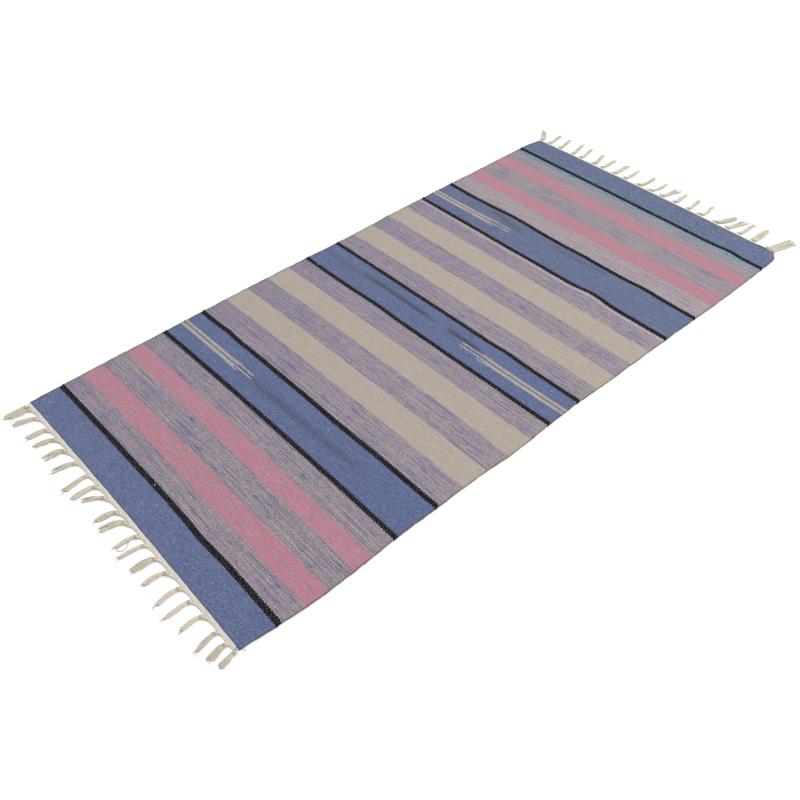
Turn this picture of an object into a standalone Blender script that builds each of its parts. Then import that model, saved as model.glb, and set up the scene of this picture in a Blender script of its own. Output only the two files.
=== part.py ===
"""Flatwoven striped cotton runner with a knotted warp fringe at each end.

Metres, +Z up. The cloth lies on z = 0 with its length along X and its width along Y.
The origin is at the centre of the underside. Tables are in millimetres.
"""

import math
import random

import bmesh
import bpy
from mathutils import Vector

MM = 0.001

# Cloth
CLOTH_LENGTH = 1447 * MM
CENTRE_ALONG = 727 * MM
CLOTH_THICKNESS = 2.6 * MM
SELVEDGE_DROP = 1.0 * MM
SELVEDGE_WIDTH = 1.6 * MM
CORNER_RADIUS = 24 * MM
COLUMN_PITCH = 62 * MM
CORNER_SHARES = (0.75, 0.5, 0.3, 0.15)
ROW_COUNT = 13
UNDERSIDE_ROW_STEP = 3
CLOTH_COLOUR = (0.34, 0.33, 0.42)
COTTON_ROUGHNESS = 0.95

# Thick black weft lines, standing a little proud of the cloth
LINE_RISE = 0.5 * MM
LINE_SHOULDER = 1.6 * MM
TWINED_LINES = (
    # start, end
    (61, 73),
    (294, 305),
    (389, 399),
    (668, 678),
    (754, 764),
    (1025, 1035),
    (1120, 1131),
    (1375, 1387),
)

# The weft at stations along the cloth: its distance from the near end at the left selvedge,
# its two ends across the cloth, and how far its middle and its right end have slipped along.
SECTIONS = (
    # along, left, right, middle slip, right slip
    (0, 351.0, -352.0, 3.0, 0.0),
    (60, 352.6, -357.0, 5.0, 4.0),
    (120, 354.0, -361.0, 5.5, 7.0),
    (160, 354.8, -361.6, 7.0, 7.0),
    (220, 355.6, -359.8, 8.0, 8.0),
    (300, 356.5, -356.5, 8.5, 10.0),
    (395, 358.4, -355.5, 8.0, 11.0),
    (500, 359.6, -355.0, 11.0, 15.0),
    (580, 360.0, -357.8, 11.0, 16.0),
    (670, 359.4, -354.0, 9.0, 18.0),
    (755, 358.4, -352.4, 9.5, 17.0),
    (830, 358.6, -354.0, 12.0, 16.5),
    (920, 361.6, -354.3, 8.0, 12.0),
    (1030, 362.0, -354.6, 7.5, 13.5),
    (1125, 362.0, -355.6, 8.5, 15.0),
    (1220, 361.0, -356.8, 8.0, 14.0),
    (1350, 361.6, -355.0, 8.0, 13.0),
    (1385, 361.0, -354.3, 5.0, 9.0),
    (1410, 360.0, -354.0, 7.0, 10.0),
    (1447, 353.6, -351.1, 11.0, 13.0),
)

# Soft creases pressed into the top, along the weft
CREASE_HALF_WIDTH = 9 * MM
CREASE_SHARES = (-1, -0.45, 0, 0.45, 1)
CREASES = (
    # along, left end, right end, depth
    (350, 130, -250, 0.7),
    (727, 352, -150, 0.9),
    (1101, 215, 75, 0.6),
)

# Curl of the far right corner, a low ridge beside the selvedge
CURL_RISE = 3.0 * MM
CURL_INSET = 9 * MM
CURL_REACH = 40 * MM
CURL_START = 1385 * MM
CURL_FULL = 1425 * MM
CURL_LIP = 0.3

# Fringe: a heading strip beside the cloth's end, and knotted tassels drawn out of it.
# ROOT_POINTS are the points of a heading section that face outward, from the floor up.
FRINGE_COLOUR = (0.66, 0.60, 0.50)
JOINT_GAP = 0.3 * MM
HEADING_WAIST = 0.86
HEADING_RISE_INNER = 2.2 * MM
HEADING_RISE_MIDDLE = 3.0 * MM
HEADING_RISE_OUTER = 2.0 * MM
ROOT_HALF_WIDTH = 3.4 * MM
STRANDS_ACROSS = 3
STRAND_LAYERS = 2
ROOT_POINTS = (5, 4, 3)
ROUNDED_SHARE = 0.72
LAYER_GAP = 0.4 * MM
KNOT_RINGS = (
    # distance out from the heading, half width, height
    (2.2, 2.7, 3.4),
    (5.0, 4.8, 5.8),
    (8.6, 5.1, 6.2),
    (11.2, 3.7, 4.8),
)
STRAND_STEPS = (
    # share of the free length, spacing, half width, thickness
    (0.34, 3.0, 1.18, 1.8),
    (0.76, 3.4, 1.28, 1.6),
    (1.00, 3.7, 1.00, 1.2),
)
TASSEL_BEND = 1.5
LENGTH_SPREAD = 0.10
SIDE_SPREAD = 0.22 * MM
SPREAD_SEED = 21

NEAR_HEADING_DEPTH = 8.3 * MM
NEAR_TASSELS = (
    # root across, reach, sway
    (338, 45, 7),
    (300, 43, 17),
    (265, 42, 4),
    (228, 43, 14),
    (191, 40, 10),
    (154, 44, 4),
    (114, 49, -7),
    (80, 45, 1),
    (46, 38, 22),
    (4, 38, 8),
    (-29, 45, 18),
    (-64, 45, 4),
    (-90, 49, 8),
    (-124, 46, 6),
    (-161, 43, 6),
    (-198, 48, -2),
    (-232, 52, 1),
    (-265, 43, 0),
    (-303, 46, -7),
    (-330, 37, -6),
    (-347, 33, -9),
)

FAR_HEADING_DEPTH = 5.5 * MM
FAR_TASSELS = (
    # root across, reach, sway
    (349, 38, 31),
    (330, 42, 6),
    (294, 46, 7),
    (251, 52, 15),
    (223, 48, 12),
    (180, 46, 14),
    (157, 47, -1),
    (118, 50, 0),
    (83, 56, 2),
    (40, 51, -5),
    (5, 50, -7),
    (-25, 49, -15),
    (-65, 47, -2),
    (-104, 47, 5),
    (-136, 47, -1),
    (-178, 45, -23),
    (-213, 48, -16),
    (-246, 55, 0),
    (-282, 60, 0),
    (-321, 60, -14),
)


def section_value(along, column):
    """A column of SECTIONS at a distance along the cloth, smooth between its rows."""
    stations = [row[0] * MM for row in SECTIONS]
    values = [row[column] * MM for row in SECTIONS]
    last = len(stations) - 1
    index = 0
    while index < last - 1 and along > stations[index + 1]:
        index += 1
    low, high = stations[index], stations[index + 1]
    share = (along - low) / (high - low)

    def slope(at):
        before, after = max(at - 1, 0), min(at + 1, last)
        return (values[after] - values[before]) / (stations[after] - stations[before])

    span = high - low
    share_squared = share * share
    share_cubed = share_squared * share
    return (
        values[index] * (2 * share_cubed - 3 * share_squared + 1)
        + slope(index) * span * (share_cubed - 2 * share_squared + share)
        + values[index + 1] * (3 * share_squared - 2 * share_cubed)
        + slope(index + 1) * span * (share_cubed - share_squared)
    )


def left_edge(along):
    return section_value(along, 1)


def right_edge(along):
    """The right selvedge, with the far corner rounded."""
    edge = section_value(along, 2)
    left_over = CLOTH_LENGTH - along
    if left_over >= CORNER_RADIUS:
        return edge
    inside = CORNER_RADIUS - left_over
    return edge + CORNER_RADIUS - math.sqrt(CORNER_RADIUS**2 - inside**2)


def slip(along, across):
    """How far the weft has slipped along the cloth, from nothing at the left selvedge."""
    share = (left_edge(along) - across) / (left_edge(along) - section_value(along, 2))
    middle = section_value(along, 3)
    right = section_value(along, 4)
    return 4 * middle * share * (1 - share) + right * share * (2 * share - 1)


def weave_point(along, across):
    return Vector((along + slip(along, across) - CENTRE_ALONG, across))


def eased(share):
    share = min(max(share, 0), 1)
    return share * share * (3 - 2 * share)


def line_rise(along):
    for start, end in TWINED_LINES:
        if start * MM - LINE_SHOULDER / 2 < along < end * MM + LINE_SHOULDER / 2:
            return LINE_RISE
    return 0


def crease_depth(along, across):
    depth = 0
    for at, left, right, deepest in CREASES:
        beside = eased(1 - abs(along - at * MM) / CREASE_HALF_WIDTH)
        half = (left - right) / 2 * MM
        middle = (left + right) / 2 * MM
        ends = eased(2 * (1 - abs(across - middle) / half))
        depth += deepest * MM * beside * ends
    return depth


def curl_lift(along, across):
    inset = across - right_edge(along)
    reached = eased((along - CURL_START) / (CURL_FULL - CURL_START))
    if inset > CURL_INSET:
        hump = eased(1 - (inset - CURL_INSET) / (CURL_REACH - CURL_INSET))
    else:
        hump = CURL_LIP + (1 - CURL_LIP) * eased(inset / CURL_INSET)
    return CURL_RISE * reached * hump


def cloth_columns():
    """Stations along the cloth: even ones, and closer ones at lines, creases and the far corner."""
    columns = {0, SELVEDGE_WIDTH, CLOTH_LENGTH - SELVEDGE_WIDTH, CLOTH_LENGTH}
    for start, end in TWINED_LINES:
        columns |= {start * MM - LINE_SHOULDER, start * MM, end * MM, end * MM + LINE_SHOULDER}
    for at, _, _, _ in CREASES:
        columns |= {at * MM + side * CREASE_HALF_WIDTH for side in CREASE_SHARES}
    for share in CORNER_SHARES:
        columns.add(CLOTH_LENGTH - share * CORNER_RADIUS)
    count = round(CLOTH_LENGTH / COLUMN_PITCH)
    for index in range(1, count):
        even = index * CLOTH_LENGTH / count
        if min(abs(even - other) for other in columns) > COLUMN_PITCH / 4:
            columns.add(even)
    return sorted(columns)


def cloth_rows():
    """Shares of the width, from the right selvedge to the left, closer together at the curl."""
    span = left_edge(0) - right_edge(0)
    near_edge = [0, SELVEDGE_WIDTH, CURL_INSET / 2, CURL_INSET, 2 * CURL_INSET, CURL_REACH]
    pitch = (span - CURL_REACH) / ROW_COUNT
    inner = [CURL_REACH + index * pitch for index in range(1, ROW_COUNT)]
    return [row / span for row in near_edge + inner + [span - SELVEDGE_WIDTH, span]]


def loft(bm, rings):
    """Faces between rings of equally many points."""
    count = len(rings[0])
    for first, second in zip(rings, rings[1:]):
        for index in range(count):
            after = (index + 1) % count
            bm.faces.new((first[index], first[after], second[after], second[index]))


def add_object(name, bm, collection, colour):
    mesh = bpy.data.meshes.new(name)
    bmesh.ops.recalc_face_normals(bm, faces=bm.faces[:])
    bm.to_mesh(mesh)
    bm.free()
    material = bpy.data.materials.new(name)
    material.use_nodes = True
    shader = material.node_tree.nodes["Principled BSDF"]
    shader.inputs["Base Color"].default_value = (*colour, 1)
    shader.inputs["Roughness"].default_value = COTTON_ROUGHNESS
    shader.inputs["Metallic"].default_value = 0
    mesh.materials.append(material)
    mesh.shade_smooth()
    mesh.set_sharp_from_angle(angle=math.radians(40))
    obj = bpy.data.objects.new(name, mesh)
    collection.objects.link(obj)
    return obj


def under_rows(rows):
    """Which rows the underside keeps: those at the curl, then one in every few."""
    last = len(rows) - 1
    return [0, 2, 3] + list(range(5, last, UNDERSIDE_ROW_STEP)) + [last]


def cloth_ring(bm, along, rows, at_end):
    """One weft-wise section of the sheet: its top and its underside, each from the right."""
    right, left = right_edge(along), left_edge(along)
    top, under = [], []
    for index, row in enumerate(rows):
        across = right + row * (left - right)
        place = weave_point(along, across)
        lift = curl_lift(along, across)
        rise = CLOTH_THICKNESS + line_rise(along) - crease_depth(along, across)
        if at_end or index in (0, len(rows) - 1):
            rise -= SELVEDGE_DROP
        top.append(bm.verts.new((*place, lift + rise)))
        if index in under_rows(rows):
            under.append(bm.verts.new((*place, lift)))
    return top, under


def close_end(bm, top, under, rows):
    """The sheet's end face, in one piece for each step of its underside."""
    kept = under_rows(rows)
    for index, (low, high) in enumerate(zip(kept, kept[1:])):
        bm.faces.new(top[low:high + 1] + [under[index + 1], under[index]])


def make_cloth(collection):
    """One sheet, lofted from weft-wise sections along its length."""
    columns = cloth_columns()
    rows = cloth_rows()
    bm = bmesh.new()
    sections = [cloth_ring(bm, at, rows, at in (columns[0], columns[-1])) for at in columns]
    loft(bm, [top + under[::-1] for top, under in sections])
    for top, under in (sections[0], sections[-1]):
        close_end(bm, top, under, rows)
    return add_object("woven_body", bm, collection, CLOTH_COLOUR)


def end_edge(across, near):
    """Where the cloth's end lies, at a place across it."""
    return weave_point(0 if near else CLOTH_LENGTH, across).x


def heading_stations(tassels, low, high):
    """Places across the heading: the middle of a gap, then a root's strands, in turn."""
    roots = sorted(row[0] * MM for row in tassels)
    stations = []
    before = low
    for index, root in enumerate(roots):
        after = (root + roots[index + 1]) / 2 if index + 1 < len(roots) else high
        stations.append((before, None))
        for place in range(STRANDS_ACROSS + 1):
            side = 2 * place / STRANDS_ACROSS - 1
            stations.append((root + side * ROOT_HALF_WIDTH, index))
        before = after
    stations.append((high, None))
    return stations


def make_fringe(name, collection, tassels, depth, near, seed):
    """Heading strip and its knotted tassels, one body."""
    outward = -1 if near else 1
    bm = bmesh.new()
    across_layer = bm.verts.layers.float.new("across")
    up_layer = bm.verts.layers.float.new("up")
    low, high = right_edge(0 if near else CLOTH_LENGTH), left_edge(0 if near else CLOTH_LENGTH)
    rings = []
    roots = {}
    for across, index in heading_stations(tassels, low, high):
        inner = end_edge(across, near) + outward * JOINT_GAP
        reach = depth if index is not None else depth * HEADING_WAIST
        outer = inner + outward * (reach - JOINT_GAP)
        middle = (inner + outer) / 2
        points = (
            (inner, 0),
            (inner, HEADING_RISE_INNER),
            (middle, HEADING_RISE_MIDDLE),
            (outer, HEADING_RISE_OUTER),
            (outer, HEADING_RISE_OUTER / 2),
            (outer, 0),
        )
        ring = [bm.verts.new((x, across, z)) for x, z in points]
        if index is not None:
            roots.setdefault(index, []).append(len(rings))
        rings.append(ring)
    loft(bm, rings)
    bm.faces.new(rings[0])
    bm.faces.new(rings[-1])
    spread = random.Random(seed)
    for index, row in enumerate(sorted(tassels)):
        columns = roots[index]
        cells = []
        for place, column in enumerate(columns):
            for layer, point in enumerate(ROOT_POINTS):
                vert = rings[column][point]
                vert[across_layer] = -1 + place * 2 / STRANDS_ACROSS
                vert[up_layer] = layer / STRAND_LAYERS
        for first, second in zip(columns, columns[1:]):
            low_side, high_side = rings[first], rings[second]
            for under, over in zip(ROOT_POINTS, ROOT_POINTS[1:]):
                corners = (low_side[under], low_side[over], high_side[over], high_side[under])
                cells.append(bm.faces.get(corners))
        add_tassel(bm, cells, row, near, depth, spread, across_layer, up_layer)
    return add_object(name, bm, collection, FRINGE_COLOUR)


def add_tassel(bm, cells, row, near, depth, spread, across_layer, up_layer):
    """Knot and strands drawn out of the heading's outer face."""
    outward = -1 if near else 1
    root, reach, sway = (value * MM for value in row)
    start = Vector((end_edge(root, near) + outward * depth, root))

    def centre(out):
        share = out / reach
        return start + Vector((outward * out, sway * share**TASSEL_BEND))

    def side(out):
        heading = (centre(out + MM) - centre(max(out - MM, 0))).normalized()
        across = Vector((-heading.y, heading.x))
        return across if across.y > 0 else -across

    for out, half_width, height in KNOT_RINGS:
        moved = bmesh.ops.extrude_face_region(bm, geom=cells)["geom"]
        bmesh.ops.delete(bm, geom=cells, context="FACES")
        cells = [item for item in moved if isinstance(item, bmesh.types.BMFace)]
        middle = centre(out * MM)
        for vert in {vert for face in cells for vert in face.verts}:
            across, up = vert[across_layer], vert[up_layer]
            narrowed = ROUNDED_SHARE if up in (0, 1) else 1
            place = middle + side(out * MM) * across * half_width * MM * narrowed
            vert.co = (*place, up * height * MM)
    face_out = KNOT_RINGS[-1][0] * MM
    free = reach - face_out
    for cell in cells:
        middle_across = sum(vert[across_layer] for vert in cell.verts) / 4
        middle_up = sum(vert[up_layer] for vert in cell.verts) / 4
        index = middle_across * STRANDS_ACROSS / 2
        length = free * (1 - spread.uniform(0, LENGTH_SPREAD))
        aside = spread.uniform(-SIDE_SPREAD, SIDE_SPREAD)
        for share, spacing, half_width, thickness in STRAND_STEPS:
            cell = bmesh.ops.extrude_discrete_faces(bm, faces=[cell])["faces"][0]
            out = face_out + length * share
            base = thickness * MM + LAYER_GAP if middle_up > 0.5 else 0
            for vert in cell.verts:
                beside = 1 if vert[across_layer] > middle_across else -1
                rise = thickness * MM if vert[up_layer] > middle_up else 0
                offset = (index * spacing + beside * half_width) * MM + aside
                place = centre(out) + side(out) * offset
                vert.co = (*place, base + rise)


def main():
    for obj in list(bpy.data.objects):
        bpy.data.objects.remove(obj)
    collection = bpy.data.collections.new("striped_runner")
    bpy.context.scene.collection.children.link(collection)
    make_cloth(collection)
    make_fringe("near_fringe", collection, NEAR_TASSELS, NEAR_HEADING_DEPTH, True, SPREAD_SEED)
    make_fringe("far_fringe", collection, FAR_TASSELS, FAR_HEADING_DEPTH, False, SPREAD_SEED + 1)


main()
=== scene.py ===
"""Looks of a flatwoven striped cotton runner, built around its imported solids.

Metres, +Z up, in the solids' frame: the length runs along X, the width along Y and the floor is z = 0.
Tables and the functions that shape the yarn are in millimetres, and each mesh is scaled once.
"Along" is the distance from the near end as woven, and "across" is the place on Y.
"""

import math

import bpy
import numpy as np
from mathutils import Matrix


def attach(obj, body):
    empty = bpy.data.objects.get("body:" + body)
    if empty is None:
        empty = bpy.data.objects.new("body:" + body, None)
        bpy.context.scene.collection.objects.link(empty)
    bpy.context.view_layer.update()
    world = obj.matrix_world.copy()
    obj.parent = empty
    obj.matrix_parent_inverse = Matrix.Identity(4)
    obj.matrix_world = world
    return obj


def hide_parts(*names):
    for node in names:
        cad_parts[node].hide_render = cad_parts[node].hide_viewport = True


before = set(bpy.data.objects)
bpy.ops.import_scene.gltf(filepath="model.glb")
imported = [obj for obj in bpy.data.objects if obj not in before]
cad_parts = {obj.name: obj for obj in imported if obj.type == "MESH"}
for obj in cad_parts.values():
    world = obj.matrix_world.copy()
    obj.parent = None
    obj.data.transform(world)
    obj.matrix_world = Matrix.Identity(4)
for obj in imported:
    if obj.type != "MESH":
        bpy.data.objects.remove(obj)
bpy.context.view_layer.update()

MM = 0.001

# Camera at the photo's view
CAMERA_PLACE = (-0.98803, -1.03197, 1.22043)
CAMERA_TURN = (44.690, 0.699, -41.606)
CAMERA_LENS = 40.456
CAMERA_SENSOR = 36

# Studio
FLOOR_RADIUS = 14
FLOOR_DROP = 0.0001
FLOOR_WHITE = 0.88
LIGHT_LEVEL = 1.30
WORLD_LEVEL = 0.80
SOFTBOXES = (
    # place, size, power
    ((1.4, 3.6, 4.6), 2.6, 80),
    ((1.4, -2.4, 3.2), 2.4, 88),
)

# Cloth, the same sizes and tables as its solid
CLOTH_LENGTH = 1447
CENTRE_ALONG = 727
CLOTH_TOP = 2.6
CORNER_RADIUS = 24
CORNER_SHARES = (0.75, 0.5, 0.3, 0.05)
END_STEP = 3
SECTIONS = np.array((
    # along, left, right, middle slip, right slip
    (0, 351.0, -352.0, 3.0, 0.0),
    (60, 352.6, -357.0, 5.0, 4.0),
    (120, 354.0, -361.0, 5.5, 7.0),
    (160, 354.8, -361.6, 7.0, 7.0),
    (220, 355.6, -359.8, 8.0, 8.0),
    (300, 356.5, -356.5, 8.5, 10.0),
    (395, 358.4, -355.5, 8.0, 11.0),
    (500, 359.6, -355.0, 11.0, 15.0),
    (580, 360.0, -357.8, 11.0, 16.0),
    (670, 359.4, -354.0, 9.0, 18.0),
    (755, 358.4, -352.4, 9.5, 17.0),
    (830, 358.6, -354.0, 12.0, 16.5),
    (920, 361.6, -354.3, 8.0, 12.0),
    (1030, 362.0, -354.6, 7.5, 13.5),
    (1125, 362.0, -355.6, 8.5, 15.0),
    (1220, 361.0, -356.8, 8.0, 14.0),
    (1350, 361.6, -355.0, 8.0, 13.0),
    (1385, 361.0, -354.3, 5.0, 9.0),
    (1410, 360.0, -354.0, 7.0, 10.0),
    (1447, 353.6, -351.1, 11.0, 13.0),
))
BULGES = (
    # places where only a short stretch of weft has slipped: along, across, slip, reach along, reach across
    (66, -142, -2.7, 45, 45),
    (393, 268, 2.2, 30, 22),
    (393, -77, -1.5, 50, 80),
    (672, 123, 2.0, 40, 50),
    (759, -167, 2.4, 35, 35),
    (1030, -162, 6.8, 36, 38),
    (1125, 288, -2.0, 30, 30),
    (1125, 148, 4.3, 36, 60),
    (1125, -52, 2.0, 30, 30),
    (1125, -227, 3.6, 34, 40),
    (1380, -267, 4.2, 28, 28),
)
CREASE_STEP = 4
CREASES = (
    # along, left end, right end, depth, share of light lost, lean, half width
    (345.5, 180, -250, 0.8, 0.30, -0.011, 15),
    (723, 430, 150, 0.4, 0.20, 0, 12),
    (727, 240, -20, 1.0, 0.60, 0.01, 9.5),
    (727, -25, -140, 1.0, 0.66, 0, 8.5),
    (1101, 225, 75, 0.8, 0.32, 0.14, 12),
    (1105, 40, -160, 0.4, 0.20, 0, 12),
)
CURL_RISE = 3.0
CURL_INSET = 9
CURL_REACH = 40
CURL_START = 1385
CURL_FULL = 1425
CURL_LIP = 0.3
SWELLS = (
    # height, length along, length across, phase
    (0.20, 310, 190, 0.4),
    (0.14, 140, 260, 2.1),
    (0.10, 83, 97, 4.0),
    (0.05, 41, 59, 1.2),
)

# Weave: ribs over the warps, and stitches of weft that cross them
RIBS = 230
RIB_STEPS = 4
RIB_DEPTH = 0.5
RIB_MEAN = 0.6
RIB_SPREAD = 0.05
RIB_SEED = 5
RIB_PITCH = 3.1
SELVEDGE_RISE = 1.5
SELVEDGE_WAVERS = (
    # length along, how far out
    (11.0, 0.20),
    (27.0, 0.30),
    (63.0, 0.40),
    (101.0, 0.30),
)
WAVER_CHANGE = 47
UNDER_STEP = 2
STITCH_LENGTH = 1.3
COLUMN_PITCH = 30
YARN_PICKS = 3
HUE_DRIFT = 0.05
TOOTH = 0.45
EDGE_WAVER = 0.55
EDGE_WAVES = (3.1, 7.3)
EDGE_PHASES = (12.7, 40)
SELVEDGE_SHADE = 0.12
LEFT_SHADE = 0.34
LEFT_SHADE_RIBS = 2.2
SHADE_WARMTH = 0.28
NEAR_END_SHADE = 0.18
FAR_END_SHADE = 0.60
END_SHADE_REACH = 3.0
STRIPES = (
    # end along, yarn
    (61.4, "blue"),
    (70.6, "ground"),
    (112.5, "melange"),
    (156.0, "pink"),
    (208.0, "melange"),
    (247.0, "pink"),
    (295.6, "melange"),
    (303.8, "ground"),
    (389.4, "mid_blue"),
    (397.4, "ground"),
    (454.0, "lavender"),
    (509.0, "beige"),
    (563.0, "lavender"),
    (620.0, "beige"),
    (668.8, "lavender"),
    (676.4, "ground"),
    (755.4, "mid_blue"),
    (762.6, "ground"),
    (810.0, "lavender"),
    (865.0, "beige"),
    (920.0, "lavender"),
    (976.0, "beige"),
    (1017.0, "lavender"),
    (1025.9, "rosy"),
    (1034.1, "ground"),
    (1121.0, "far_blue"),
    (1129.5, "ground"),
    (1185.0, "pale_melange"),
    (1227.0, "far_pink"),
    (1285.0, "far_melange"),
    (1322.0, "far_pink"),
    (1361.0, "far_melange"),
    (1376.2, "teal"),
    (1384.8, "ground"),
    (1447.0, "end_blue"),
)

# Selvedges: a bead of weft that turns round the outermost warp, painted darker and browner than the weft:
# painted shade, and the brown of the warp that shows there
BEAD_RADIUS = 1.1
BEAD_STEP = 0.65
BEAD_PITCH = 5.2
BEAD_SIDES = 6
BEAD_LOBE_DEPTH = 0.16
BEAD_UNEVEN = 0.12
BEAD_WAVES = (2.9, 7.7)
BEAD_CORNER_TURN = 76
BEAD_PAINTS = {
    # the bead's paint, the weft's yarns; apart from black, each paint is the weft's colour with painted
    # shade, browner where the warp shows
    "black": ("ground",),
    "slate_edge": ("blue", "mid_blue", "far_blue", "end_blue", "teal"),
    "rose_edge": ("pink", "far_pink"),
    "sand_edge": ("beige",),
    "lilac_edge": ("melange", "lavender", "rosy", "pale_melange", "far_melange"),
}

# A stitch of yarn: a plump shape that droops towards its tips
PILLOW_SIDES = 8
PILLOW_STATIONS = (
    # place from tip to tip, share of the width
    (-0.8, 0.70),
    (-0.3, 0.98),
    (0.3, 0.98),
    (0.8, 0.70),
)
PILLOW_DROOP = 0.25
PILLOW_TIP_DROOP = 0.3

# Thick black lines: two rows of slanted stitches, one stitch to every two ribs
LINE_LAP = 1.35
LINE_ROWS = (
    # share of the line's width, first rib
    (0.25, 0.5),
    (0.75, 1.5),
)
LINE_PITCH = 2
LINE_WIDTH = 10.8
LINE_STITCH = (9.3, 5.0, 2.9)
LINE_EXTRAS = (
    # width added to each line at the left selvedge, the middle and the right one
    (-0.9, -1.3, -1.1),
    (-0.2, -0.5, -1.9),
    (1.4, 0.6, 0.8),
    (1.1, 0.2, 0.5),
    (0.5, -0.6, -0.1),
    (0.5, 0.9, 1.2),
    (0.6, 0.0, 0.1),
    (0.2, -0.1, 1.0),
)
LINE_UNEVEN = 0.35
LINE_WAVES = (9, 23)
LINE_JITTER = (0.06, 0.08, 5, 0.3)  # shares of length and width, degrees, millimetres along
LINE_SEED = 3
LINE_SLANT = 47
LINE_LIFT = -0.25
SPECK_STITCH = (2.0, 1.2, 1.3)
SPECK_LIFT = 0.75
SPECK_CHANCE = 0.42
SPECK_RISE = 0.58
SPECKLED_LINES = 2
SPECK_SPREAD = 0.28
SPECK_ASIDE = 0.6
SPECK_JITTER = (0.25, 0.4, 0.15)  # shares of the size and of the spread, millimetres up

# Inlaid bars: rows of cream stitches that start at a selvedge and fork at the other end
INLAY_PITCH = 2
INLAY_STITCH = (7.7, 1.62, 1.3)
INLAY_LIFT = -0.12
INLAY_SLANT = 82
INLAY_FORK = 0.78
INLAY_INSET = 0.6
INLAY_JITTER = (0.1, 3, 0.15)  # share of the width, degrees, millimetres along
INLAY_SEED = 8
INLAYS = (
    # along of the middle, at the left selvedge, outer and inner lengths, lean by the outer rows' tips
    (348.2, True, 201, 241, -0.7),
    (717.2, False, 217, 273, -2.8),
    (1074.8, True, 198, 244, 1.8),
)
INLAY_ROWS = (
    # offset at the selvedge, offset at the tip, reaches the inner length, length added
    (-8.9, -10.0, False, 0),
    (-7.4, -8.4, False, 2),
    (-5.9, -6.6, False, -11),
    (-4.5, -3.5, True, -2),
    (-3.0, -2.0, True, 1),
    (2.0, 3.6, False, -13),
    (3.6, 5.5, True, 0),
    (5.2, 7.0, True, -3),
    (6.8, 9.6, False, 1),
)

# Dark picks that run a little way through the mottled stripes
PICK_STITCH = (3.1, 1.25, 0.8)
PICK_LIFT = -0.02
PICK_JITTER = (0.2, 0.12, 4)  # share of the width, millimetres along, degrees
STRAY_SEED = 21
DARK_PICKS = (
    # along, left end, right end, ribs from stitch to stitch, yarn
    (98.0, 348, 278, 2, "slate"),
    (99.2, 188, 128, 1, "navy"),
    (98.2, 128, 68, 2, "navy"),
    (111.1, 85, -64, 2, "navy"),
    (88.6, -2, -52, 2, "slate"),
    (101.3, -35, -67, 1, "navy"),
    (104.5, -222, -257, 1, "slate"),
    (103.5, -264, -340, 2, "slate"),
    (84.3, -297, -335, 2, "navy"),
    (167.0, 298, 188, 2, "slate"),
    (171.6, 298, 248, 2, "slate"),
    (172.0, 240, 160, 1, "navy"),
    (170.4, 160, 83, 2, "navy"),
    (195.8, 218, 183, 1, "slate"),
    (202.6, 303, 236, 2, "slate"),
    (178.9, -102, -177, 2, "navy"),
    (178.9, -212, -277, 2, "navy"),
    (182.2, -290, -324, 2, "slate"),
    (205.6, -52, -84, 1, "navy"),
    (265.5, 308, 238, 2, "slate"),
    (271.0, 298, 223, 2, "slate"),
    (275.4, 198, 123, 2, "navy"),
    (260.3, 128, 78, 1, "slate"),
    (256.5, -47, -97, 1, "navy"),
    (251.5, -220, -252, 1, "slate"),
    (286.0, -232, -290, 2, "slate"),
    (424.6, 186, 88, 2, "navy"),
    (443.6, 188, 118, 2, "navy"),
    (410.7, -156, -310, 1, "violet"),
    (430.1, -58, -75, 1, "slate"),
    (526.4, 348, 233, 2, "slate"),
    (526.5, 214, 141, 2, "navy"),
    (551.5, 300, 264, 1, "slate"),
    (551.1, 244, 180, 1, "slate"),
    (535.0, 102, 85, 1, "slate"),
    (539.5, -24, -114, 2, "slate"),
    (540.6, -167, -209, 2, "navy"),
    (516.5, -201, -223, 1, "slate"),
    (513.0, -256, -350, 2, "navy"),
    (510.5, -276, -350, 2, "slate"),
    (657.0, 298, 264, 1, "slate"),
    (630.8, 208, 152, 2, "slate"),
    (624.6, -24, -94, 2, "violet"),
    (643.2, -206, -352, 1, "denim"),
    (779.1, 312, 230, 2, "slate"),
    (792.0, -100, -192, 2, "navy"),
    (785.0, -131, -181, 2, "slate"),
    (790.5, -204, -268, 1, "slate"),
    (788.6, -282, -338, 2, "slate"),
    (878.0, 65, 18, 1, "slate"),
    (908.2, 256, 180, 2, "violet"),
    (893.0, -190, -212, 1, "slate"),
    (1005.3, -112, -242, 2, "slate"),
    (1242.0, 313, 262, 2, "violet"),
    (1242.0, 166, 130, 1, "slate"),
    (1265.0, 190, 154, 1, "slate"),
    (1240.0, -236, -287, 2, "slate"),
)

# Neps and specks of other yarn caught in the weave, higher on the stripes that are listed
NEP_HEIGHT = 1.2
NEP_LIFT = 0.1
NEP_RISE = 1.1
NEP_LINES = (1, 15)
NEPS = (
    # along, across, length, width, turn, yarn
    (350.6, 135.5, 5.0, 1.4, 5, "cream"),
    (717.8, -93.8, 5.0, 1.4, 0, "cream"),
    (66.7, 10.7, 3.8, 2.0, 70, "cream"),
    (219.2, 84, 3.4, 2.0, 60, "maroon"),
    (238.1, 87, 3.0, 1.6, 80, "maroon"),
    (141.7, 203, 2.4, 1.5, 90, "cream"),
    (234.8, -152, 2.8, 1.6, 40, "cream"),
    (175.5, 28, 3.2, 1.8, 90, "cream"),
    (674.7, 323, 4.6, 2.0, 90, "cream"),
    (745.4, -232, 3.2, 2.2, 60, "terracotta"),
    (607.1, 191, 3.0, 2.0, 90, "slate"),
    (568.2, 228, 2.6, 2.0, 90, "terracotta"),
    (818.6, -282, 3.0, 2.2, 80, "slate"),
    (976.2, -304, 4.0, 2.4, 90, "slate"),
    (424.9, 335, 3.6, 1.8, 70, "cream"),
    (1385.5, -8, 4.0, 2.6, 30, "black"),
    (1378.5, 354.5, 13.0, 8.0, 12, "black"),
    (1383.5, 346, 3.4, 2.4, 60, "cream"),
)

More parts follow.
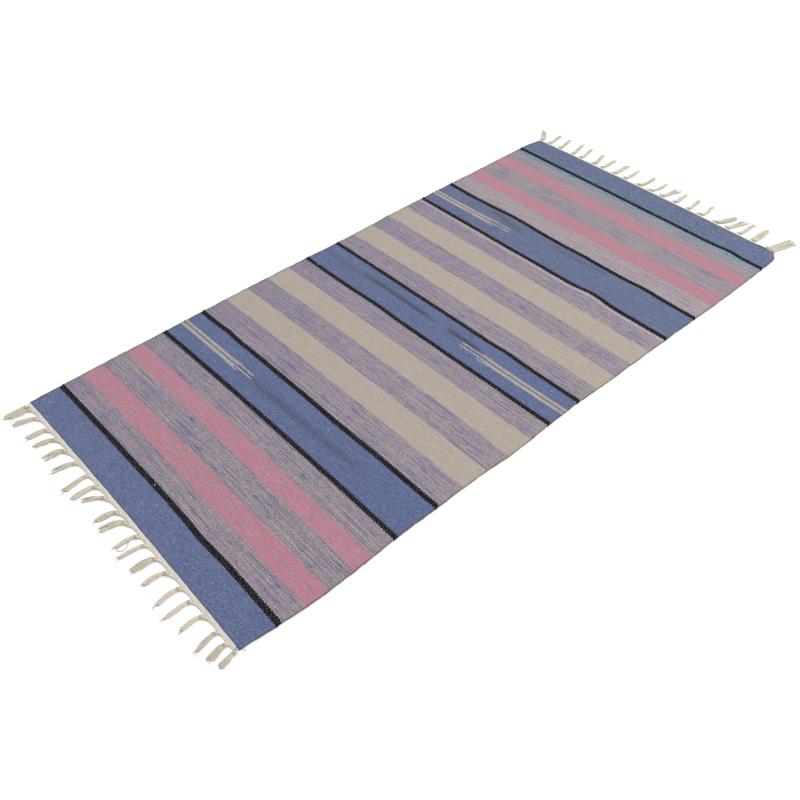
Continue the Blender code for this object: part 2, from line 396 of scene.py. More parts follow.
# Headings: cords of twined warp and cream weft along each end of the cloth, then warps drawn to the knots
ROPE_STEP = 0.9
NEAR_ROPES = (
    # distance out, radius, lobes, their depth, pitch, height of its centre, paint
    (1.1, 1.30, 2, 0.32, 6.2, 1.75, 0),
    (3.5, 1.60, 3, 0.2, 9.3, 1.75, 1),
    (5.9, 1.30, 3, 0.2, -9.3, 1.35, 2),
)
FAR_ROPES = (
    (1.1, 1.20, 2, 0.25, 11.0, 1.7, 0),
    (4.1, 1.55, 3, 0.2, 9.3, 1.5, 2),
)
NEAR_ROPE_PAINTS = ("edge_cream", "warp_pale", "warp_grey")
FAR_ROPE_PAINTS = ("far_edge", "far_edge", "far_pale")
ROPE_TAPER = 9
ROPE_SIDES = 9
ROPE_UNEVEN = 0.05
ROPE_UNEVEN_LENGTH = 3.7
ROPE_WAVERS = ((0.25, 13.0), (0.15, 5.1))  # how far out, length
ROPE_LEAST = 0.15
HEADING_LEAST = 0.4
FAN_CORNERS = (
    # out past the heading, share of the way to the root, height
    (-3.9, 1.0, 1.3),
    (-2.5, 0.86, 1.75),
    (-1.7, 0.5, 2.1),
    (-0.5, 0.2, 2.2),
    (1.9, 0.0, 2.2),
    (4.0, 0.0, 2.3),
)
FAN_RADIUS = 0.78
FAN_STEP = 1.15
FAN_GATHERED = 1.7
FAN_WANDER = 0.3
FAN_TILT = 0.35
FAN_SEED = 31

# Tassels
NEAR_HEADING_DEPTH = 8.2
NEAR_TASSELS = (
    # root across, reach, bow, sway, half width where it is widest, tip's share of it, yarns, tips
    (345, 51, 0, -1, 3.8, 1.0, 12, 1),
    (331, 43, 3, 8, 3.0, 0.8, 8, 1),
    (299, 45, 4.5, 18, 4.4, 1.1, 12, 1),
    (259, 42, 5, 8.5, 5.4, 0.9, 13, 1),
    (225, 42, 5, 15.5, 4.6, 0.7, 12, 1),
    (186, 42, 8, 13, 6.6, 0.8, 15, 2),
    (150, 45, 2.5, 12, 4.4, 1.0, 12, 2),
    (112, 52, 1, -4.5, 3.4, 1.35, 11, 1),
    (76, 48, 4, 5, 4.3, 1.1, 12, 1),
    (40, 37, 4, 28, 3.7, 0.9, 11, 2),
    (-1, 41, 5.5, 11.5, 5.0, 0.8, 13, 1),
    (-33, 45, 8.5, 22, 5.4, 1.0, 14, 2),
    (-66, 44, 3, 6, 2.9, 0.7, 10, 1),
    (-90, 51, 2, 8, 2.9, 0.9, 10, 1),
    (-126, 46, 3.5, 6.5, 6.0, 0.9, 12, 1),
    (-166, 45, 7.5, 10, 3.4, 1.2, 13, 1),
    (-201, 49, 3, -1, 2.9, 0.9, 14, 1),
    (-233, 52, 3.5, 1, 3.0, 0.9, 13, 1),
    (-270, 43, 5, 4, 2.9, 1.0, 11, 1),
    (-304, 44, 1.5, -8, 3.4, 0.8, 11, 1),
    (-330, 37, 1, -8, 5.0, 1.1, 12, 1),
    (-349.5, 34.5, 0, -8, 4.0, 1.15, 13, 1),
)
FAR_HEADING_DEPTH = 5.5
FAR_TASSELS = (
    # the same columns
    (349, 46, -2, 32, 5.2, 1.15, 15, 1),
    (325, 56, -1, 8, 2.9, 1.3, 10, 1),
    (290, 57, -1, 12, 3.0, 0.8, 10, 1),
    (247.5, 61, 0, 16, 3.3, 0.9, 10, 1),
    (223, 58, -3, 11, 2.6, 1.5, 10, 1),
    (181, 57, -2.5, 12, 3.2, 0.8, 10, 1),
    (153.5, 57, 0, 0, 3.7, 1.0, 11, 1),
    (115.5, 60, 0, 1, 4.3, 1.2, 12, 1),
    (83, 60, -2, 0.5, 3.0, 0.9, 14, 1),
    (43, 60, -6, -8, 3.7, 0.9, 13, 1),
    (10, 61, -7.5, -12, 2.6, 1.1, 12, 1),
    (-26, 57, -3, -15, 4.6, 1.6, 12, 2),
    (-66.5, 55, 0, 1, 4.4, 0.6, 11, 1),
    (-107, 55, -1, 6.5, 2.5, 1.5, 12, 1),
    (-134, 56, -9, -3, 2.7, 1.2, 12, 1),
    (-179, 55, -3, -27, 5.4, 1.0, 14, 1),
    (-212, 58, -1.5, -18, 4.8, 1.35, 12, 2),
    (-247, 63, 0, -1.5, 3.4, 1.1, 12, 1),
    (-282.5, 67, 0, 0.5, 7.4, 0.8, 17, 1),
    (-327, 73, 0, -22, 10.5, 0.95, 22, 3),
)
BOW_PEAK = 0.6
NEAR_HOOK = 2.5
FAR_HOOK = 7
HOOK_REACH = 10
LOOSE_SPREAD = 1.25
YARN_RADII = (1.2, 0.95)
YARN_LOBES = 2
YARN_LOBE_DEPTH = 0.05
YARN_PITCH = 8.0
YARN_STEP = 1.0
YARN_SIDES = 5
TASSEL_SEED = 12
TASSEL_WAVE = 0.8
TASSEL_SLANT = 0.06
TASSEL_SLANT_POWER = 1.5
LONGEST_LANE = 0.8
TASSEL_FRAY = 0.08
TASSEL_TONES = (0.12, 0.38)
YARN_TONES = 0.5
USUAL_YARNS = 10
ROOT_SPREAD = 1.9
ROOT_HEIGHT = 2.0
ROOT_CORNERS = (
    # out, height added by the upper layer
    (1.2, 1.1),
    (4.2, 1.7),
)
TASSEL_CORNERS = (
    # out, share of the half width near and far, height, height added by the upper layer
    (8.2, 0.66, 0.74, 2.0, 1.7),
    (13.0, 0.80, 0.90, 1.6, 1.7),
)
TASSEL_STATIONS = (
    # share of the yarn's length, wander, height added by the upper layer
    (0.55, 0.6, 1.6),
    (0.80, 0.8, 1.3),
    (1.00, 1.1, 0.7),
)
TASSEL_LOW = 1.28
TIP_TAPER = (0.8, 0.45)
FORK_PULL = 0.7
HAIRS = 3
HAIR_ASIDE = 1.1
HAIR_REACHES = (0.95, 1.14)
HAIR_RADIUS = 0.36
HAIR_SIDES = 4
HAIR_STEP = 1.6
HAIR_HEIGHT = 0.5
HAIR_STATIONS = (
    # share of the hair's length, share of how far aside it ends
    (0.6, 0.6),
    (0.75, 0.8),
    (0.9, 1.0),
    (1.0, 1.1),
)
KNOT_LANES = (0.3, 2.0)
KNOT_START = 2.4
KNOT_TRAVEL = 3.4
KNOT_TURN = 200
KNOT_POINTS = 9
KNOT_HALF_WIDTH = 2.8
KNOT_HALF_HEIGHT = 2.0
KNOT_MIDDLE = 2.9
KNOT_LOW = 1.15

# Threads that lie loose: yarn, radius, and their points
THREAD_STEP = 0.9
THREAD_PITCH = 5.0
THREAD_SIDES = 6
LOOSE_THREADS = (
    ("warp", 0.55, ((-742, -61, 2.0), (-750, -64, 0.8), (-756, -70, 0.7), (-763, -74, 0.7), (-770, -72, 0.7),
                    (-774, -67, 0.7), (-771, -64, 0.7))),
    ("warp", 0.45, ((-745, 331, 2.0), (-754, 330, 0.8), (-764, 332, 0.7), (-773, 330, 0.7),
                    (-780, 328, 0.7))),
    ("warp", 0.45, ((734, 170, 2.0), (744, 176, 0.8), (756, 174, 0.7), (765, 168, 0.7))),
    ("warp", 0.45, ((735, -27, 2.0), (750, -30, 0.8), (768, -27, 0.7), (778, -20, 0.7))),
    ("warp_shade", 0.4, ((-724, -352, 1.6), (-721, -355.5, 0.9), (-720, -357.5, 0.6), (-721.5, -359, 0.6))),
    ("navy", 0.45, ((-726, -345, 3.3), (-729, -348, 3.4), (-732, -350, 3.2))),
    ("navy", 0.45, ((-725, -349, 3.1), (-728, -351, 3.0), (-731, -352, 2.2))),
)

# A pale blue thread along the rolled selvedge at the far right corner: start, end, inset, radius, lift
PALE_CORNER_LINE = (1389, 1437, 9.0, 0.42, 0.45)

# Dyes of the weft as they look in the photo, from dark to pale, and how each yarn was spun and dyed, with
# light painted on towards the right selvedge by its drift
NAVY, VIOLET, GREIGE = (88, 92, 128), (126, 114, 152), (166, 157, 148)
DYE_STOPS = {3: (0, 0.5, 1), 4: (0, 0.35, 0.65, 1)}
WEFTS = {
    "blue": dict(
        dyes=((91, 104, 146), (96, 110, 149), (100, 113, 150), (106, 116, 152)),
        streak=25, spread=0.29, nep=(180, 186, 205),
    ),
    "mid_blue": dict(
        dyes=((83, 98, 142), (89, 104, 146), (95, 109, 148), (102, 113, 150)),
        streak=25, spread=0.26, nep=(180, 186, 205),
    ),
    "far_blue": dict(
        dyes=((78, 92, 133), (87, 101, 138), (93, 106, 141), (108, 119, 150)),
        streak=30, spread=0.21, nep=(180, 186, 200), painted_light_right=0.05,
    ),
    "end_blue": dict(
        dyes=((78, 92, 133), (87, 101, 138), (93, 106, 141), (108, 119, 150)),
        streak=30, spread=0.27, nep=(180, 186, 200), painted_light_right=0.05, slubs=0.22,
    ),
    "pink": dict(
        dyes=((180, 124, 140), (186, 132, 147), (192, 141, 154)),
        streak=25, spread=0.13, nep=(150, 70, 96), clouds=0.015,
    ),
    "far_pink": dict(
        dyes=((176, 120, 134), (184, 129, 142), (192, 140, 150)),
        streak=25, spread=0.08, nep=(150, 80, 96), clouds=0.015,
    ),
    "beige": dict(
        dyes=((173, 161, 149), (180, 168, 156), (187, 175, 162)),
        streak=40, spread=0.09, nep=(140, 130, 120), clouds=0.01, painted_light_right=0.04,
    ),
    "lavender": dict(
        dyes=((131, 114, 149), (145, 133, 150), (153, 141, 151), (170, 158, 155)),
        streak=130, spread=0.21, nep=(196, 184, 190), clouds=0.01, painted_light_right=0.075,
        strays=((NAVY, 0.71, 40, 1), (NAVY, 0.78, 60, 2), (VIOLET, 0.65, 130, 2), (VIOLET, 0.67, 60, 2)),
    ),
    "rosy": dict(
        dyes=((158, 144, 159), (171, 157, 167), (184, 172, 176)),
        streak=90, spread=0.16, nep=(196, 184, 190), clouds=0.01, painted_light_right=0.12,
    ),
    "melange": dict(
        dyes=((128, 111, 150), (145, 132, 151), (155, 142, 151), (171, 161, 153)),
        streak=130, spread=0.24, nep=(190, 180, 180), clouds=0.01, painted_light_right=0.02,
        strays=((NAVY, 0.70, 60, 1), (VIOLET, 0.66, 130, 2), (GREIGE, 0.68, 140, 2), (NAVY, 0.76, 40, 3)),
    ),
    "pale_melange": dict(
        dyes=((144, 129, 148), (162, 147, 157), (179, 166, 168)),
        streak=100, spread=0.20, nep=(200, 190, 185), clouds=0.015, painted_light_right=0.05,
        strays=((VIOLET, 0.72, 90, 3), (GREIGE, 0.68, 90, 3)),
    ),
    "far_melange": dict(
        dyes=((130, 117, 140), (148, 135, 146), (154, 142, 150), (171, 158, 160)), stops=(0, 0.4, 0.7, 1),
        streak=100, spread=0.13, nep=(200, 190, 185), clouds=0.015, painted_light_right=0.03,
        strays=((NAVY, 0.76, 50, 2), (VIOLET, 0.68, 120, 3), (GREIGE, 0.69, 90, 3)),
    ),
    "teal": dict(
        dyes=((90, 122, 158), (109, 138, 163), (132, 155, 168)),
        streak=40, spread=0.26, painted_light_right=0.07, strays=((GREIGE, 0.70, 40, 1),),
    ),
    "ground": dict(
        dyes=((30, 31, 34), (40, 41, 42), (56, 58, 55)),
        streak=25, spread=0.2, nep=(120, 120, 110), fuzz=0.03,
    ),
}

# Cotton: how its stitches and dyes vary, its relief, and its fuzz, which sets gloss and sheen alike
PICK_SCATTER = 57
PAIR_STREAK = 1.3
MOTTLE_LENGTH = 26
PATCH_SIZE = (2.3, 0.9)  # millimetres along, ribs
BLOTCH_SIZE = (3.4, 1.3)
STITCH_SLANT = 0.35
# painted shade in the gaps between stitches: a stitch's middle, and its tips
STITCH_SHADES = (1.04, 0.74)
STITCH_RELIEF = 0.22
DYE_SHARES = (0.27, 0.58, 0.1, 0.05)  # single picks, pairs, patches, mottle
DYE_RANGE = (0.35, 0.65)
FLECK_RARITY = 300
FLECK_STRENGTH = 0.75
COTTON_ROUGHNESS = 0.92
SHEEN_ROUGHNESS = 0.55
WEFT_FUZZ = 0.22
YARN_FUZZ = 0.16
BLACK_FUZZ = 0.03
YARN_RELIEF = 0.10
YARN_SPREAD = 0.13
WARP_SPREAD = 0.20

# Colours of the plain yarns as they look in the photo, where 255 is white paper
PAINTS = {
    "black": (31, 30, 33),
    "speck": (104, 102, 92),
    "cream": (208, 194, 170),
    "edge_cream": (255, 256, 244),
    "warp_pale": (247, 240, 231),
    "warp_grey": (240, 231, 217),
    "warp": (234, 223, 203),
    # painted shade: the warp made darker in the near knots
    "knot": (216, 199, 172),
    "far_warp": (227, 220, 201),
    "warp_shade": (190, 184, 172),
    # painted light: the warp made lighter in the far knots
    "far_knot": (236, 228, 211),
    "far_edge": (244, 241, 228),
    "far_pale": (256, 258, 246),
    "navy": (72, 76, 116),
    "slate": (104, 108, 130),
    "violet": (108, 98, 156),
    "denim": (82, 94, 152),
    "maroon": (120, 56, 84),
    "terracotta": (150, 96, 78),
    "pale_blue": (170, 174, 194),
    # The selvedge beads: the weft's colours with painted shade, browner where the warp shows
    "slate_edge": (94, 94, 88),
    "rose_edge": (130, 103, 94),
    "lilac_edge": (126, 115, 102),
    "sand_edge": (142, 132, 114),
}


def section_value(along, column):
    """A column of SECTIONS at distances along the cloth, smooth between its rows."""
    stations, values = SECTIONS[:, 0], SECTIONS[:, column]
    last = len(stations) - 1
    index = np.clip(np.searchsorted(stations, along) - 1, 0, last - 1)
    after = np.minimum(np.arange(last + 1) + 1, last)
    before = np.maximum(np.arange(last + 1) - 1, 0)
    slopes = (values[after] - values[before]) / (stations[after] - stations[before])
    span = stations[index + 1] - stations[index]
    share = (along - stations[index]) / span
    squared, cubed = share**2, share**3
    return (
        values[index] * (2 * cubed - 3 * squared + 1)
        + slopes[index] * span * (cubed - 2 * squared + share)
        + values[index + 1] * (3 * squared - 2 * cubed)
        + slopes[index + 1] * span * (cubed - squared)
    )


def left_edge(along):
    return section_value(along, 1)


def right_edge(along):
    """The right selvedge, with the far corner rounded."""
    inside = np.clip(CORNER_RADIUS - (CLOTH_LENGTH - along), 0, CORNER_RADIUS)
    return section_value(along, 2) + CORNER_RADIUS - np.sqrt(CORNER_RADIUS**2 - inside**2)


def slip(along, across):
    """How far the weft has slipped along the cloth, from nothing at the left selvedge."""
    left = left_edge(along)
    share = (left - across) / (left - section_value(along, 2))
    middle, right = section_value(along, 3), section_value(along, 4)
    bulge = 0
    for at, beside, most, reach_along, reach_across in BULGES:
        away = ((along - at) / reach_along) ** 2 + ((across - beside) / reach_across) ** 2
        bulge = bulge + most * np.exp(-away)
    return 4 * middle * share * (1 - share) + right * share * (2 * share - 1) + bulge


def eased(share):
    share = np.clip(share, 0, 1)
    return share * share * (3 - 2 * share)


def creased(along, across, column):
    """A column of CREASES at a point: full along a crease's middle, and nothing past its sides and ends."""
    total = 0
    for row in CREASES:
        at, left, right = row[:3]
        lean, half_width = row[5:]
        half, middle = (left - right) / 2, (left + right) / 2
        beside = eased(1 - np.abs(along - at - lean * (across - middle)) / half_width)
        total = total + row[column] * beside * eased(2 * (1 - np.abs(across - middle) / half))
    return total


def curl_lift(along, across):
    inset = across - right_edge(along)
    reached = eased((along - CURL_START) / (CURL_FULL - CURL_START))
    outside = CURL_LIP + (1 - CURL_LIP) * eased(inset / CURL_INSET)
    inside = eased(1 - (inset - CURL_INSET) / (CURL_REACH - CURL_INSET))
    return CURL_RISE * reached * np.where(inset > CURL_INSET, inside, outside)


def swell(along, across):
    """Low unevenness of the cloth as it lies."""
    height = 0
    for rise, length, width, phase in SWELLS:
        waves = np.sin(math.tau * along / length + phase)
        height = height + rise * waves * np.cos(math.tau * across / width + 1.7 * phase)
    return height


def surface(along, across):
    """Height of the cloth's top, ribs apart."""
    return CLOTH_TOP + curl_lift(along, across) + swell(along, across) - creased(along, across, 3)


def edge_waver(along, left):
    """Small outward waves of a selvedge, different on the two sides."""
    outward = 0
    for index, (length, reach) in enumerate(SELVEDGE_WAVERS):
        phase = 2.3 * index + (0 if left else 4.1)
        strength = np.sin(along / WAVER_CHANGE + 3 * phase)
        outward = outward + reach * np.sin(math.tau * along / length + phase) * strength
    return outward


def across_at_rib(along, rib):
    right = right_edge(along)
    return right + rib / RIBS * (left_edge(along) - right)


def rib_at_across(along, across):
    right = right_edge(along)
    return RIBS * (across - right) / (left_edge(along) - right)


def place(along, across):
    """Plan position of a point of the weave."""
    return along + slip(along, across) - CENTRE_ALONG, across


def stripe_of(along):
    return next((index for index, (end, _) in enumerate(STRIPES) if along < end), len(STRIPES) - 1)


def stacked(*coordinates):
    """Points from their coordinates, which may be arrays of unlike shapes or single numbers."""
    return np.stack(np.broadcast_arrays(*coordinates), -1)


def yarn_at(along):
    return STRIPES[stripe_of(along)][1]


def bead_at(along):
    """The paint of the bead that turns round a selvedge there: black on the black lines, and elsewhere the
    weft's colour with painted shade.
    """
    return next(bead for bead, wefts in BEAD_PAINTS.items() if yarn_at(along) in wefts)


class Stock:
    """Points, faces, yarn coordinates and slots of one joined mesh."""

    def __init__(self):
        self.points, self.faces, self.yarn, self.slots = [], [], [], []
        self.count = 0

    def add(self, points, faces, yarn, slot=0):
        """Add a shape with one slot for all its faces, or a list of slots."""
        self.points.append(points)
        self.yarn.append(yarn)
        self.faces.extend(tuple(index + self.count for index in face) for face in faces)
        self.slots.extend([slot] * len(faces) if isinstance(slot, int) else slot)
        self.count += len(points)


def add_object(name, data):
    added = bpy.data.objects.new(name, data)
    bpy.context.scene.collection.objects.link(added)
    return added


def make_piece(name, stock, paints, coordinate="yarn"):
    """A joined mesh from a stock, its slots filled with the named paints, riding on the root body."""
    mesh = bpy.data.meshes.new(name)
    points = np.concatenate(stock.points)
    points[:, 2] = np.maximum(points[:, 2], 0)
    mesh.from_pydata((points * MM).tolist(), [], stock.faces)
    layer = mesh.attributes.new(coordinate, "FLOAT_VECTOR", "POINT")
    layer.data.foreach_set("vector", np.concatenate(stock.yarn).astype(np.float32).ravel())
    mesh.polygons.foreach_set("material_index", stock.slots)
    for paint in paints:
        mesh.materials.append(MATERIALS[paint])
    mesh.shade_smooth()
    mesh.update()
    piece = add_object(name, mesh)
    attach(piece, "root")
    return piece


def ring_faces(rings, count):
    """The corners of each face between one closed ring of points and the next."""
    here = np.arange((rings - 1) * count).reshape(-1, count)
    after = np.roll(here, -1, 1)
    return np.stack([here, after, after + count, here + count], -1).reshape(-1, 4)


def cloth_columns():
    """Stations along the cloth: every stripe's edge, each crease, and even ones between."""
    fixed = {0.0, END_STEP, CLOTH_LENGTH - END_STEP}
    fixed |= {float(end) for end, _ in STRIPES}
    for at, left, right, _, _, lean, half_width in CREASES:
        steps = np.arange(0, half_width + abs(lean) * (left - right) / 2, CREASE_STEP)
        fixed |= {float(at + step) for step in (*steps, *-steps)}
    fixed |= {CLOTH_LENGTH - share * CORNER_RADIUS for share in CORNER_SHARES}
    fixed = sorted(fixed)
    columns = []
    for low, high in zip(fixed, fixed[1:]):
        parts = max(1, round((high - low) / COLUMN_PITCH))
        columns += [low + (high - low) * part / parts for part in range(parts)]
    return np.array(columns + [fixed[-1]])


def shade(along, across, ribs):
    """How much darker the cloth is where it turns under at a selvedge or dips in a crease."""
    from_edge = np.clip(np.minimum(ribs, RIBS - ribs), 0, 1)
    from_end = np.clip(np.minimum(along, CLOTH_LENGTH - along) / END_SHADE_REACH, 0, 1)
    from_left = np.clip((RIBS - ribs) / LEFT_SHADE_RIBS, 0, 1)
    turned = SELVEDGE_SHADE * (1 - from_edge) ** 3 + LEFT_SHADE * (1 - from_left)
    at_end = np.where(along < CLOTH_LENGTH / 2, NEAR_END_SHADE, FAR_END_SHADE) * (1 - from_end)
    return np.clip(turned + creased(along, across, 4) + at_end, 0, 1)


def make_cloth():
    """One ribbed sheet: a lofted row of ribs on top, a plain underside, and closed ends."""
    names = sorted({yarn for _, yarn in STRIPES})
    columns = cloth_columns()
    stations = columns[:, None]
    ribs = np.arange(RIBS * RIB_STEPS + 1) / RIB_STEPS
    inside = ribs % 1
    is_edge = np.isin(stations, [end for end, _ in STRIPES[:-1]])
    tooth = TOOTH * np.where(inside > 0, np.floor(ribs) % 2 * 2 - 1, 0)
    phases = np.sin(stations * EDGE_PHASES[0]) * EDGE_PHASES[1]
    waver = np.sin(ribs / EDGE_WAVES[0] + phases) + np.sin(ribs / EDGE_WAVES[1] + 1.7 * phases)
    along = stations + is_edge * (tooth + EDGE_WAVER / 2 * waver)
    across = across_at_rib(stations, ribs)
    random_rise = np.random.default_rng(RIB_SEED).uniform(-RIB_SPREAD, RIB_SPREAD, RIBS + 1)
    round_top = np.sqrt(np.clip(1 - (2 * inside - 1) ** 2, 0, 1))
    profile = RIB_DEPTH * (round_top - RIB_MEAN) + random_rise[np.floor(ribs).astype(int)] * round_top
    z = surface(along, across) + profile
    z[:, 0] = SELVEDGE_RISE + curl_lift(columns, across[:, 0])
    z[:, -1] = SELVEDGE_RISE
    low_ribs = np.arange(RIBS - UNDER_STEP, 0, -UNDER_STEP).astype(float)
    low_across = across_at_rib(stations, low_ribs)
    low = stacked(*place(stations, low_across), curl_lift(stations, low_across))
    rings = np.concatenate([stacked(*place(along, across), z), low], 1)
    weave = stacked(along, ribs, shade(along, across, ribs))
    coordinates = np.concatenate([weave, stacked(stations, low_ribs, 0)], 1)
    count = rings.shape[1]
    faces = ring_faces(len(columns), count)[:, [0, 3, 2, 1]].tolist()
    middles = (columns[:-1] + columns[1:]) / 2
    slots = [names.index(yarn_at(middle)) for middle in middles for _ in range(count)]
    block = RIB_STEPS * UNDER_STEP
    parts = RIBS // UNDER_STEP
    for base, turn, (_, yarn) in ((0, 1, STRIPES[0]), ((len(columns) - 1) * count, -1, STRIPES[-1])):
        slots += [names.index(yarn)] * parts
        for part in range(parts):
            face = list(range(base + part * block, base + (part + 1) * block + 1))
            face += [base + count - 1 - part] * (part < parts - 1) + [base + count - part] * (part > 0)
            faces.append(face[::turn])
    stock = Stock()
    stock.add(rings.reshape(-1, 3), faces, coordinates.reshape(-1, 3), slots)
    piece = make_piece("woven_cloth", stock, names, coordinate="weave")
    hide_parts("woven_body")
    return piece


def make_selvedges():
    """The beads of weft that turn round the outermost warp at both selvedges."""
    names = sorted(BEAD_PAINTS)
    stock = Stock()
    straight = np.arange(0, CLOTH_LENGTH - CORNER_RADIUS, BEAD_STEP)
    quarter = np.radians(np.arange(0, BEAD_CORNER_TURN, math.degrees(BEAD_STEP / CORNER_RADIUS)))
    rounded = CLOTH_LENGTH - CORNER_RADIUS * (1 - np.sin(quarter))
    whole = np.arange(0, CLOTH_LENGTH, BEAD_STEP)
    for outward, along in ((1, whole), (-1, np.concatenate([straight, rounded]))):
        left = outward > 0
        across = left_edge(along) if left else right_edge(along)
        x, y = place(along, across)
        rise = 0 if left else curl_lift(along, across)
        path = stacked(x, y + outward * edge_waver(along, left), SELVEDGE_RISE + rise)
        uneven = BEAD_UNEVEN * np.sin(along / BEAD_WAVES[0]) * np.sin(along / BEAD_WAVES[1])
        radius = BEAD_RADIUS * (1 + uneven)
        slots = [names.index(bead_at(at)) for at in along[:-1] for _ in range(BEAD_SIDES)]
        bead = twisted(path, radius, 0, 0, 2, BEAD_PITCH, BEAD_SIDES, BEAD_LOBE_DEPTH)
        stock.add(*bead, slots + [slots[0], slots[-1]])
    return make_piece("selvedge_beads", stock, names)


def pillow_faces():
    """Faces of a stitch: rings of points, and a point at each end."""
    rings = len(PILLOW_STATIONS)
    first, last = rings * PILLOW_SIDES, rings * PILLOW_SIDES + 1
    end = (rings - 1) * PILLOW_SIDES
    faces = []
    for side in range(PILLOW_SIDES):
        after = (side + 1) % PILLOW_SIDES
        faces += [(first, after, side), (last, end + side, end + after)]
        for base in range(0, end, PILLOW_SIDES):
            faces.append((base + side, base + after, base + PILLOW_SIDES + after, base + PILLOW_SIDES + side))
    return faces


def add_stitch(stock, along, rib, size, turn, lift, tint, slot=0):
    """Add a plump stitch that lies on the cloth, turned from the length towards the left selvedge."""
    across = across_at_rib(along, rib)
    centre = np.array((*place(along, across), surface(along, across) + lift))
    angle = math.radians(turn)
    length, width, height = size
    direction = np.array((math.cos(angle), math.sin(angle), 0))
    beside = np.array((-direction[1], direction[0], 0))
    up = np.array((0, 0, 1))
    points, yarn = [], []
    for station, share in PILLOW_STATIONS:
        for side in range(PILLOW_SIDES):
            around = math.tau * side / PILLOW_SIDES
            points.append(
                centre
                + direction * station * length / 2
                + beside * math.cos(around) * width / 2 * share
                + up * (math.sin(around) * height / 2 * share - PILLOW_DROOP * height * station**2)
            )
            yarn.append((station * length / 2, side, tint))
    for station in (-1, 1):
        points.append(centre + direction * station * length / 2 - up * PILLOW_TIP_DROOP * height)
        yarn.append((station * length / 2, 0, tint))
    stock.add(np.array(points), PILLOW_FACES, np.array(yarn, float), slot)


def make_lines():
    """The raised black lines, with pale specks where their two rows meet."""
    stock = Stock()
    rng = np.random.default_rng(LINE_SEED)
    long, wide, tall = LINE_STITCH
    starts = [0] + [end for end, _ in STRIPES]
    stripes = [(start, end) for start, (end, yarn) in zip(starts, STRIPES) if yarn == "ground"]
    for line, (low, high) in enumerate(stripes):
        start = low - LINE_LAP
        width = high + LINE_LAP - start
        for share, first in LINE_ROWS:
            for rib in np.arange(first, RIBS, LINE_PITCH):
                jitter = rng.uniform(-1, 1, 4) * LINE_JITTER
                added = np.interp(rib, (0, RIBS / 2, RIBS), LINE_EXTRAS[line][::-1])
                waves = math.sin(rib / LINE_WAVES[0] + 2 * line) + math.sin(rib / LINE_WAVES[1] + 5 * line)
                added += LINE_UNEVEN * waves
                size = (long * (width + added) / LINE_WIDTH * (1 + jitter[0]), wide * (1 + jitter[1]), tall)
                along = start + share * width + jitter[3]
                add_stitch(stock, along, rib, size, LINE_SLANT + jitter[2], LINE_LIFT, rng.uniform())
        for rib in range(1, RIBS):
            jitter = rng.uniform(-1, 1, 3) * SPECK_JITTER
            rise = SPECK_RISE * (1 - rib / RIBS) if line < SPECKLED_LINES else 0
            if rng.uniform() < SPECK_CHANCE + rise:
                size = [length * (1 + jitter[0]) for length in SPECK_STITCH]
                aside = jitter[1] + (SPECK_ASIDE if rib % 2 else -SPECK_ASIDE)
                along = start + width * (0.5 + SPECK_SPREAD * aside)
                add_stitch(stock, along, rib, size, LINE_SLANT, SPECK_LIFT + jitter[2], rng.uniform(), 1)
    return make_piece("black_lines", stock, ("black", "speck"))


def make_inlays():
    """Forked cream bars, in rows of stitches on alternate ribs."""
    stock = Stock()
    rng = np.random.default_rng(INLAY_SEED)
    long, wide, tall = INLAY_STITCH
    for middle, at_left, outer, inner, lean in INLAYS:
        for row, (offset, tip_offset, is_inner, added) in enumerate(INLAY_ROWS):
            length = (inner if is_inner else outer) + added
            for step in range(int(length / (INLAY_PITCH * RIB_PITCH))):
                from_edge = INLAY_INSET + INLAY_PITCH * (step + row % 2 / 2)
                forked = eased((from_edge * RIB_PITCH / outer - INLAY_FORK) / (1 - INLAY_FORK))
                leaned = lean * from_edge * RIB_PITCH / outer
                along = middle + offset + (tip_offset - offset) * forked + leaned
                jitter = rng.uniform(-1, 1, 3) * INLAY_JITTER
                size = (long, wide * (1 + jitter[0]), tall)
                rib = RIBS - from_edge if at_left else from_edge
                turn = INLAY_SLANT + jitter[1]
                add_stitch(stock, along + jitter[2], rib, size, turn, INLAY_LIFT, rng.uniform())
    return make_piece("inlaid_bars", stock, ["cream"])


def make_strays():
    """Dark picks in the mottled stripes, and neps."""
    names = sorted({row[-1] for row in DARK_PICKS + NEPS})
    stock = Stock()
    rng = np.random.default_rng(STRAY_SEED)
    long, wide, tall = PICK_STITCH
    for along, left, right, apart, yarn in DARK_PICKS:
        first, last = rib_at_across(along, right), rib_at_across(along, left)
        for rib in np.arange(math.ceil(first) + 0.5, last, apart):
            jitter = rng.uniform(-1, 1, 3) * PICK_JITTER
            size = (long, wide * (1 + jitter[0]), tall)
            turn = 90 + jitter[2]
            add_stitch(stock, along + jitter[1], rib, size, turn, PICK_LIFT, rng.uniform(), names.index(yarn))
    for along, across, length, width, turn, yarn in NEPS:
        rib = rib_at_across(along, across)
        lift = LINE_LIFT + NEP_RISE if stripe_of(along) in NEP_LINES else NEP_LIFT
        size = (length, width, NEP_HEIGHT)
        add_stitch(stock, along, rib, size, turn, lift, rng.uniform(), names.index(yarn))
    return make_piece("stray_picks", stock, names)


